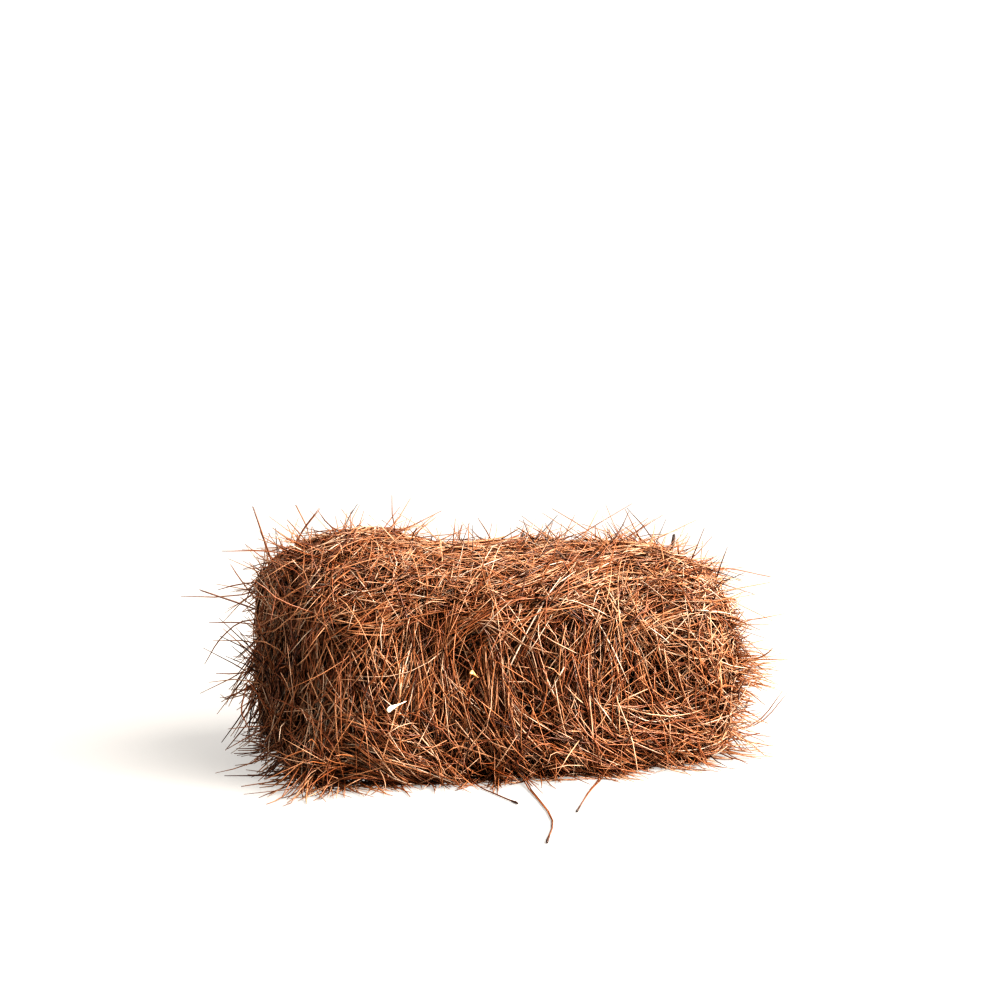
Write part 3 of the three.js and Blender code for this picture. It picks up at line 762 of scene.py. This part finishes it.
FLARES = [  # needles, root, direction, length, tint
    (46, (0.305, -0.110, 0.122), (1, -0.1, 0.05), 0.082, 0.55),
    (30, (0.300, -0.060, 0.132), (1, 0.1, 0.15), 0.062, 0.60),
    (30, (0.298, -0.110, 0.095), (1, -0.2, -0.1), 0.060, 0.55),
    (26, (0.285, -0.110, 0.045), (1, -0.2, -0.2), 0.075, 0.60),
    (22, (0.265, -0.060, 0.215), (1, 0, 0.35), 0.060, 0.60),
    (14, (-0.280, 0.040, 0.190), (-0.35, 0.1, -0.8), 0.110, 0.16),
    (14, (-0.280, 0.090, 0.150), (-0.35, 0.2, -0.8), 0.110, 0.14),
    (14, (-0.285, 0.060, 0.100), (-0.5, 0.1, -0.6), 0.090, 0.20),
    (10, (-0.280, 0.100, 0.200), (-0.6, 0.2, 0.3), 0.070, 0.25),
    (16, (-0.275, -0.060, 0.040), (-0.9, -0.3, -0.35), 0.085, 0.50),
    (14, (-0.270, -0.110, 0.030), (-0.7, -0.6, -0.3), 0.080, 0.55),
    (20, (-0.255, 0.020, 0.262), (-0.6, 0, 0.6), 0.060, 0.45),
    (16, (-0.130, 0.060, 0.268), (0.4, 0.2, 0.7), 0.050, 0.50),
    (16, (0.130, 0.080, 0.258), (-0.5, 0.2, 0.6), 0.050, 0.55),
    (18, (-0.265, -0.140, 0.030), (-0.7, -0.7, -0.35), 0.095, 0.55),
    (18, (-0.190, -0.140, 0.024), (0.3, -0.9, -0.2), 0.080, 0.50),
    (24, (-0.060, -0.150, 0.024), (0.6, -0.8, -0.2), 0.090, 0.50),
    (24, (0.020, -0.150, 0.024), (0.3, -0.9, -0.2), 0.085, 0.45),
    (24, (0.090, -0.150, 0.024), (0.5, -0.8, -0.2), 0.090, 0.55),
    (20, (0.180, -0.150, 0.024), (0.6, -0.7, -0.2), 0.080, 0.55),
    (22, (-0.020, -0.150, 0.020), (-0.5, -0.8, -0.2), 0.090, 0.40),
    (22, (0.050, -0.150, 0.020), (0.8, -0.6, -0.2), 0.095, 0.50),
]
flares = [flare(*row, rng) for row in FLARES]
loose_ends = [right_tufts, left_tufts, edge_tufts, stubble, *flares]
straw_pieces.append(join_needles("end_tufts", loose_ends, straw_finish))
straw_pieces.append(join_needles("foot_fringe", [foot_fringe], straw_finish))

# %% [markdown]
# ## Packed straw behind the locks
# Between the locks the eye meets more straw, pressed tight and in deep shade. Filling the whole bale with
# needles would be true but wasteful.
# The block's own form, set back a little, roughened into ridges along its length and painted near-black as
# shade, closes those gaps.

# %% Packed straw
PACKED_BACK = 0.034  # how far behind the surface it lies
PACKED_RIDGE = 0.004
PACKED_GRAIN = 0.009


def packed_straw(material):
    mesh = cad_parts["straw_block"].data.copy()
    mesh.name = "packed_straw"
    mesh.materials.clear()
    mesh.materials.append(material)
    piece = bpy.data.objects.new("packed_straw", mesh)
    bpy.context.scene.collection.objects.link(piece)
    remesh = piece.modifiers.new("remesh", "REMESH")
    remesh.mode = "VOXEL"
    remesh.voxel_size = PACKED_GRAIN
    evaluated = piece.evaluated_get(bpy.context.evaluated_depsgraph_get())
    even = bpy.data.meshes.new_from_object(evaluated)
    piece.modifiers.clear()
    piece.data = even
    bpy.data.meshes.remove(mesh)
    places = np.empty(len(even.vertices) * 3)
    even.vertices.foreach_get("co", places)
    places = places.reshape(-1, 3)
    distance, out = surface(places)
    ridge = np.sin(places[:, 2] * 420 + 3 * np.sin(places[:, 0] * 31)) * np.cos(places[:, 1] * 300)
    places = places - out * (distance + PACKED_BACK - PACKED_RIDGE * ridge)[:, None]
    places[:, 2] = np.maximum(places[:, 2], FLOOR_CLEAR)
    even.vertices.foreach_set("co", places.ravel())
    even.polygons.foreach_set("use_smooth", np.ones(len(even.polygons), bool))
    even.update()
    return piece


def streaky(name, colours, grain, bump_depth, turn=(0, 0, 0), scale=1.0, detail=6, roughness=0.8):
    """Packed straw, wood or bark: streaks along the grain, with a relief to match."""
    material, tree, shader = new_material(name)
    place = add(tree, "TexCoord")
    stretch = add(tree, "Mapping")
    stretch.inputs["Scale"].default_value = grain
    stretch.inputs["Rotation"].default_value = turn
    link(tree, place.outputs["Object"], stretch.inputs["Vector"])
    streaks = add(tree, "TexNoise")
    streaks.inputs["Scale"].default_value = scale
    streaks.inputs["Detail"].default_value = detail
    link(tree, stretch.outputs["Vector"], streaks.inputs["Vector"])
    colour = add(tree, "ValToRGB")
    fill_ramp(colour, colours)
    link(tree, streaks.outputs["Fac"], colour.inputs["Fac"])
    link(tree, colour.outputs["Color"], shader.inputs["Base Color"])
    bump = add(tree, "Bump")
    bump.inputs["Distance"].default_value = bump_depth
    link(tree, streaks.outputs["Fac"], bump.inputs["Height"])
    link(tree, bump.outputs["Normal"], shader.inputs["Normal"])
    shader.inputs["Roughness"].default_value = roughness
    return material


# Near-black tints: painted shade for the deep gaps, not the straw's own brown.
painted_shade_straw = streaky("painted_shade_straw", [(0.35, (0.003, 0.001, 0.0005)), (0.60, (0.012, 0.003, 0.001)),
                                        (0.80, (0.035, 0.010, 0.003))],
                       (14, 60, 160), 0.003, (0.2, 0.5, 0.3), 2.2, 5, 0.9)
packed = packed_straw(painted_shade_straw)
for piece in [packed, *straw_pieces]:
    belongs(piece)
    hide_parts("straw_block")
print("packed straw faces:", len(packed.data.polygons))

# %% [markdown]
# ## Loose needles
# A few needles have worked loose and reach well clear of the bale, at its left corner, its ends and its foot.
# Two or three still share a sheath, the dark scaly cuff that held them on the twig.
# Each is drawn along its own route, one by one, because the eye looks for exactly these.

# %% Loose needles
SHEATH_SHARE = 0.09
SHEATH_RADIUS = 0.0014
LOOSE_SHARES = np.array([0, 0.03, 0.06, 0.085, 0.10, 0.20, 0.30, 0.40, 0.50, 0.60, 0.70, 0.80, 0.90, 1.0])
LOOSE = {  # needles, spread at the tips, route from the caught end to the free end
    "loose_left_top": (2, 0.009, [(-0.254, 0.058, 0.196), (-0.286, 0.058, 0.250), (-0.318, 0.058, 0.345)]),
    "loose_left_crown": (1, 0, [(-0.215, 0.010, 0.262), (-0.298, 0.002, 0.289), (-0.370, 0, 0.294)]),
    "loose_left_high": (2, 0.010, [(-0.255, 0, 0.180), (-0.325, 0, 0.213), (-0.400, 0, 0.243)]),
    "loose_left_mid": (1, 0, [(-0.262, -0.025, 0.176), (-0.340, -0.025, 0.199), (-0.392, -0.025, 0.203)]),
    "loose_left_low": (1, 0, [(-0.262, 0.028, 0.176), (-0.330, 0.028, 0.194), (-0.368, 0.028, 0.172),
                              (-0.392, 0.028, 0.136)]),
    "loose_top_left": (2, 0.008, [(-0.275, 0.100, 0.205), (-0.250, 0.100, 0.288), (-0.217, 0.100, 0.334)]),
    "loose_top_middle": (1, 0, [(0.052, 0.100, 0.230), (0.031, 0.100, 0.283), (0.013, 0.100, 0.312)]),
    "loose_right_high": (2, 0.006, [(0.245, -0.080, 0.226), (0.310, -0.080, 0.252), (0.390, -0.080, 0.237)]),
    "loose_right_curl": (2, 0.018, [(0.255, -0.080, 0.034), (0.328, -0.080, 0.021), (0.378, -0.080, 0.030),
                                    (0.416, -0.080, 0.070)]),
    "loose_right_low": (1, 0, [(0.245, -0.110, 0.044), (0.320, -0.110, 0.026), (0.383, -0.112, 0.014)]),
    "loose_foot_left": (3, 0.070, [(-0.240, -0.090, 0.022), (-0.292, -0.096, 0.004),
                               (-0.366, -0.112, 0.0012)]),
}
SLID_OUT = {  # the same, with the sheath at the free end
    "loose_floor_front": (2, 0.007, [(0.008, -0.130, 0.018), (-0.008, -0.205, 0.003),
                                     (-0.023, -0.361, 0.0016), (-0.060, -0.458, 0.0016)]),
    "loose_floor_side": (2, 0.009, [(0.128, -0.126, 0.018), (0.104, -0.190, 0.003), (0.060, -0.262, 0.0016),
                                    (0.015, -0.345, 0.0016)]),
    "loose_floor_short": (1, 0, [(-0.084, -0.128, 0.018), (-0.072, -0.195, 0.003), (-0.060, -0.240, 0.0016),
                                 (-0.045, -0.291, 0.0016)]),
}


def loose_needles(node, count, spread, places, rng):
    """Needles from one sheath along a route that starts at the sheath."""
    middle = smooth_route(places, LOOSE_SHARES)
    heading = unit(np.gradient(middle, axis=0))
    aside = unit(np.cross([0, 0, 1.0], heading))
    steps = np.arange(count) - (count - 1) / 2
    parting = np.maximum(LOOSE_SHARES - SHEATH_SHARE, 0) ** 1.5
    routes = middle + aside * (spread * steps[:, None] * parting)[..., None]
    in_sheath = LOOSE_SHARES < SHEATH_SHARE
    slim = np.interp(LOOSE_SHARES, [0, 0.75, 1], [1, 0.9, 0.4]) * NEEDLE_RADIUS
    scales = SHEATH_RADIUS * (1 + 0.25 * np.sin(LOOSE_SHARES * 260))
    radii = np.broadcast_to(np.where(in_sheath, scales, slim), routes.shape[:2])
    routes[..., 2] = np.maximum(routes[..., 2], radii)
    ways = np.where(in_sheath, LOOSE_SHARES, 0.12 + 0.87 * LOOSE_SHARES)
    ways = np.broadcast_to(ways, routes.shape[:2])
    tint = rng.uniform(0.08, 0.42, count)
    piece = join_needles(node + "_needles", [needle_arrays(routes, radii, ways, tint, rng)], straw_finish)
    belongs(piece)
    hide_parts(node)


for node, (count, spread, places) in LOOSE.items():
    loose_needles(node, count, spread, places, rng)
for node, (count, spread, places) in SLID_OUT.items():
    loose_needles(node, count, spread, places[::-1], rng)

# %% [markdown]
# ## Twigs and scraps
# Two broken twig ends stand out of the top, and a pale splinter of wood and a papery flake are caught in the
# front. They are small, but they are what tells the eye that this is forest litter and not combed fibre.
# Each is a loft: rings of points set along a line, uneven as broken wood is, and joined by faces.

# %% Twigs and scraps
LOFT_SIDES = 10
LOFT_RINGS = 9
SCRAP_OUT = 0.012  # the scraps lie on the straw, in front of their solids


def lofted(name, rings, material):
    """A closed mesh through rings of points."""
    count, sides = rings.shape[:2]
    faces = [list(range(sides))[::-1], list(range((count - 1) * sides, count * sides))]
    for ring in range(count - 1):
        for side in range(sides):
            after = (side + 1) % sides
            low, high = ring * sides, (ring + 1) * sides
            faces.append([low + side, low + after, high + after, high + side])
    mesh = bpy.data.meshes.new(name)
    mesh.from_pydata(rings.reshape(-1, 3).tolist(), [], faces)
    mesh.materials.append(material)
    for polygon in list(mesh.polygons)[2:]:
        polygon.use_smooth = True
    piece = bpy.data.objects.new(name, mesh)
    bpy.context.scene.collection.objects.link(piece)
    print(f"{name}: {len(mesh.polygons)} faces")
    return piece


def uneven_rings(start, end, wide, flat, bow, rng):
    """Rings from start to end; wide gives the half width at each ring, flat the half thickness, with the thin
    side facing the front, and bow how far the line swings."""
    start, end = np.array(start, float), np.array(end, float)
    heading = unit(end - start)
    across = unit(np.cross([0, -1.0, 0.001], heading))
    thin = np.cross(heading, across)
    turn = np.arange(LOFT_SIDES) * 2 * math.pi / LOFT_SIDES
    shares = np.linspace(0, 1, len(wide))
    rough = rng.uniform(0.82, 1.12, (len(wide), LOFT_SIDES))
    line = start + (end - start) * shares[:, None]
    line = line + across * (np.sin(shares * 5) * bow)[:, None]
    rings = line[:, None] + across * (np.cos(turn) * np.array(wide)[:, None] * rough)[..., None]
    rings = rings + thin * (np.sin(turn) * np.array(flat)[:, None] * rough)[..., None]
    splinter = rng.uniform(-1, 1, LOFT_SIDES) * np.max(wide) * 0.6
    rings[-1] += heading * splinter[:, None]
    return rings


twig_bark = streaky("twig_bark", [(0.35, (0.010, 0.006, 0.004)), (0.55, (0.040, 0.024, 0.015)),
                                  (0.75, (0.110, 0.075, 0.050))], (500, 500, 160), 0.0012)
pale_wood = streaky("pale_wood", [(0.30, (0.40, 0.29, 0.14)), (0.48, (0.66, 0.60, 0.48)),
                                  (0.70, (0.80, 0.76, 0.67))], (120, 500, 700), 0.0005)
papery_bark = streaky("papery_bark", [(0.35, (0.22, 0.10, 0.03)), (0.55, (0.45, 0.30, 0.13)),
                                      (0.72, (0.58, 0.47, 0.28))], (300, 500, 420), 0.0006)


def twig(node, start, end, radius):
    taper = np.linspace(radius, radius * 0.8, LOFT_RINGS) * rng.uniform(0.9, 1.12, LOFT_RINGS)
    piece = lofted(node + "_wood", uneven_rings(start, end, taper, taper, radius, rng), twig_bark)
    belongs(piece)
    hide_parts(node)


def scrap(node, long, wide, flat, turn, material):
    """A splinter caught in the front, where its solid is."""
    low, high = (np.array(corner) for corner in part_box(node))
    centre = (low + high) / 2 - np.array([0, SCRAP_OUT, 0])
    reach = np.array([math.cos(turn), 0.12, math.sin(turn)]) * long / 2
    swell = np.interp(np.linspace(0, 1, LOFT_RINGS), [0, 0.12, 0.35, 0.6, 1], [0.8, 1, 0.7, 0.3, 0.15])
    rings = uneven_rings(centre - reach, centre + reach, wide * swell, flat * swell, wide * 0.2, rng)
    piece = lofted(node + "_scrap", rings, material)
    belongs(piece)
    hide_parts(node)


twig("twig_stub", (0.267, 0.017, 0.200), (0.281, 0.020, 0.287), 0.0030)
twig("twig_stub_small", (0.074, 0.098, 0.240), (0.079, 0.104, 0.284), 0.0026)
scrap("wood_chip", 0.027, 0.0038, 0.0020, math.radians(24), pale_wood)
scrap("bark_flake", 0.014, 0.0036, 0.0016, math.radians(-32), papery_bark)

# %% [markdown]
# ## Floor and light
# The bale stands on a seamless white studio floor. The main light comes from the upper right: the top is
# bright, the front gets about half of it and the left end stays in shade.
# Area lights fade with distance and would leave a grey horizon, so the main light is a sun with a wide disc,
# which is as soft as a large studio light and falls evenly on the whole floor.
# The surroundings are white to the eye but give only weak fill, which keeps the gaps in the straw dark.

# %% Floor
FLOOR_SIZE = 400.0
FLOOR_GIVES = (0.60, 0.58, 0.555, 1)  # what the floor throws back on the bale
FLOOR_SHOWS = (0.13, 0.125, 0.118, 1)  # what the camera sees of that, with a faint glow added to reach white
FLOOR_GLOW = 0.34


def pale_floor():
    material, tree, shader = new_material("pale_floor")
    seen = add(tree, "LightPath")
    tone = add(tree, "Mix")
    tone.data_type = "RGBA"
    tone.inputs["A"].default_value = FLOOR_GIVES
    tone.inputs["B"].default_value = FLOOR_SHOWS
    link(tree, seen.outputs["Is Camera Ray"], tone.inputs["Factor"])
    link(tree, tone.outputs["Result"], shader.inputs["Base Color"])
    glow = add(tree, "Math")
    glow.operation = "MULTIPLY"
    glow.inputs[1].default_value = FLOOR_GLOW
    link(tree, seen.outputs["Is Camera Ray"], glow.inputs[0])
    link(tree, glow.outputs["Value"], shader.inputs["Emission Strength"])
    shader.inputs["Emission Color"].default_value = (1, 0.97, 0.94, 1)
    shader.inputs["Roughness"].default_value = 0.9
    shader.inputs["Specular IOR Level"].default_value = 0.1
    return material


bpy.ops.mesh.primitive_plane_add(size=FLOOR_SIZE, location=(0, 0, 0))
floor = bpy.context.object
floor.name = "floor"
floor.data.materials.append(pale_floor())
print("floor side:", FLOOR_SIZE)

# %% Light
MAIN_FROM = (0.60, -0.32, 0.66)
MAIN_STRENGTH = 7.2
MAIN_SOFTNESS = math.radians(46)
FILL_ABOVE = 1.35
FILL_LOW = 0.52
SIDE_FROM = (1.35, -0.95, 0.95)
SIDE_AIM = (0.15, 0, 0.13)
SIDE_SIZE = 0.9
SIDE_POWER = 70

scene = bpy.context.scene
scene.view_settings.view_transform = "Standard"
scene.view_settings.look = "Very High Contrast"
world = bpy.data.worlds.new("studio")
world.use_nodes = True
scene.world = world
studio = world.node_tree
backdrop = studio.nodes["Background"]
backdrop.inputs["Color"].default_value = (1, 0.995, 0.985, 1)
direction = add(studio, "TexCoord")
height = add(studio, "SeparateXYZ")
link(studio, direction.outputs["Generated"], height.inputs["Vector"])
fill = add(studio, "MapRange")
fill.inputs["To Min"].default_value = FILL_LOW
fill.inputs["To Max"].default_value = FILL_ABOVE
link(studio, height.outputs["Z"], fill.inputs["Value"])
seen = add(studio, "LightPath")
brightness = add(studio, "Mix")
brightness.inputs["B"].default_value = 1.0
link(studio, seen.outputs["Is Camera Ray"], brightness.inputs["Factor"])
link(studio, fill.outputs["Result"], brightness.inputs["A"])
link(studio, brightness.outputs["Result"], backdrop.inputs["Strength"])

main_light = bpy.data.lights.new("main_light", "SUN")
main_light.energy = MAIN_STRENGTH
main_light.angle = MAIN_SOFTNESS
main_light.color = (1, 0.97, 0.93)
lamp = bpy.data.objects.new("main_light", main_light)
scene.collection.objects.link(lamp)
lamp.rotation_euler = Vector(MAIN_FROM).to_track_quat("Z", "Y").to_euler()
print("main light from", MAIN_FROM)

side_data = bpy.data.lights.new("side_light", "AREA")
side_data.shape = "DISK"
side_data.size = SIDE_SIZE
side_data.energy = SIDE_POWER
side_data.color = (1, 0.97, 0.94)
side_light = bpy.data.objects.new("side_light", side_data)
scene.collection.objects.link(side_light)
side_light.location = SIDE_FROM
side_way = Vector(SIDE_FROM) - Vector(SIDE_AIM)
side_light.rotation_euler = side_way.to_track_quat("Z", "Y").to_euler()
